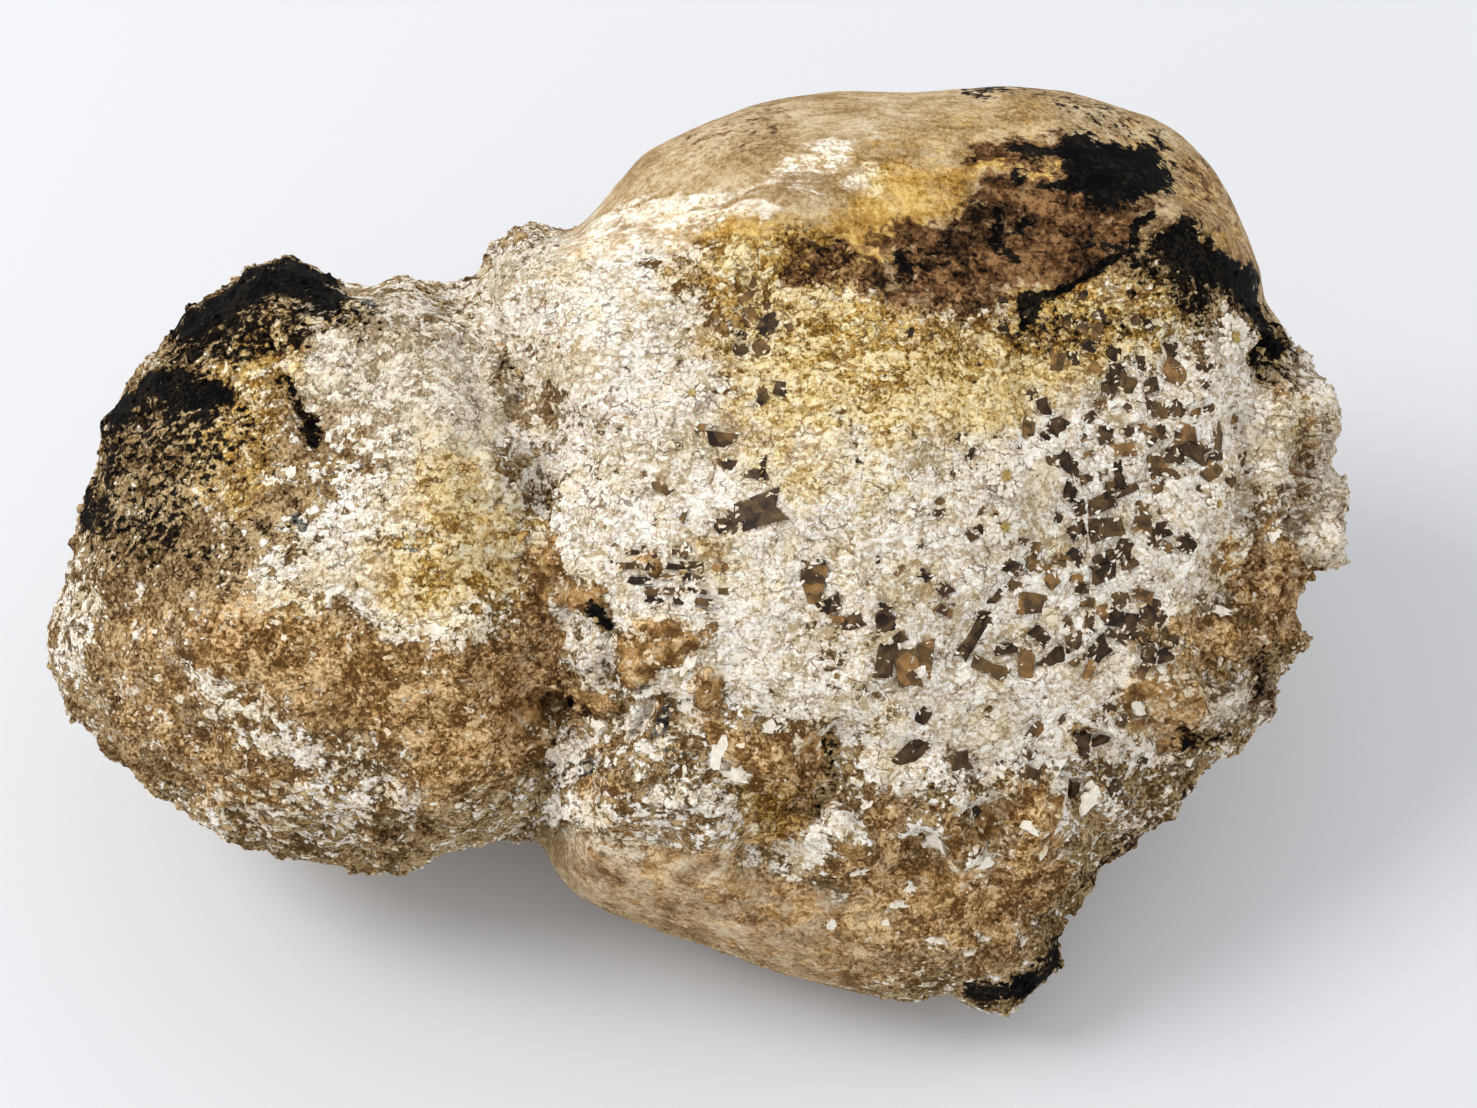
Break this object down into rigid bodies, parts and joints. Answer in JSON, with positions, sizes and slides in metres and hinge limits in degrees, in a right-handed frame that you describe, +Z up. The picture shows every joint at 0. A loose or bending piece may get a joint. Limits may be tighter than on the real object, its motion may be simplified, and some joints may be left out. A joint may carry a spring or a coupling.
{
  "type": "mineral specimen",
  "caption": "Two-lobed water-worn cobble with a crystal-crusted face, leaning back on a small flat spot; display rock or set dressing.",
  "frame": {"origin": "under the middle of the bounding box, on the ground", "axes": "+X along the stone's length, +Y towards its bare back, +Z up; the crusted face looks up and towards -Y"},
  "size_m": [0.1486, 0.0876, 0.0828],
  "materials": {
    "mineral_crust": "rough white and golden barite crust with black and brown stains over a smooth tan cobble"
  },
  "bodies": {
    "root": {"hokutolite": "mineral_crust"}
  },
  "joints": []
}
